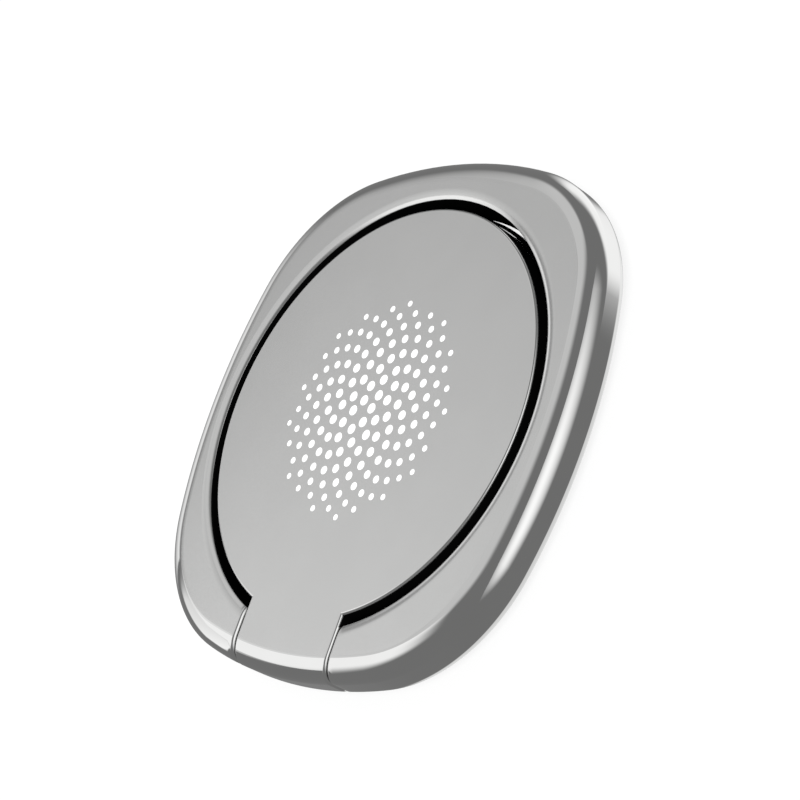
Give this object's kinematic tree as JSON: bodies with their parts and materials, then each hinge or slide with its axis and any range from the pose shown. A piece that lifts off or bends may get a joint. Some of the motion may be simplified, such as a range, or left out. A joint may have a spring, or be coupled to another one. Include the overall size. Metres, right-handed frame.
{
  "type": "phone ring holder",
  "caption": "Flat rounded-square finger ring that folds up on a hinge tab from around a round face plate, swivelling on a round adhesive base that sticks to a phone.",
  "frame": {"origin": "centre of the adhesive pad's underside, on the swivel axis", "axes": "+Z out of the phone, through the face plate; the ring's hinge runs along X on the -Y side; the ring is closed"},
  "size_m": [0.0354, 0.036, 0.0035],
  "materials": {
    "polished_alloy": "polished",
    "satin_alloy": "satin polished",
    "steel": "turned",
    "spring_steel": "rolled",
    "washer_plastic": "smooth",
    "adhesive_foam": "matt foam tape"
  },
  "bodies": {
    "mount": {"adhesive_pad": "adhesive_foam", "base_plate": "steel", "slip_washer": "washer_plastic"},
    "face": {"face_plate": "satin_alloy", "friction_sleeve": "spring_steel", "pivot_screw": "steel", "disc_spring": "spring_steel"},
    "ring": {"finger_ring": "polished_alloy", "hinge_pin": "steel"}
  },
  "joints": [
    {"name": "swivel", "type": "hinge", "parent": "mount", "child": "face", "pos_m": [0, 0, 0.0019], "axis": [0, 0, 1], "continuous": true},
    {"name": "ring_hinge", "type": "hinge", "parent": "face", "child": "ring", "pos_m": [0, -0.01625, 0.0024], "axis": [1, 0, 0], "range_deg": [0, 180]}
  ]
}
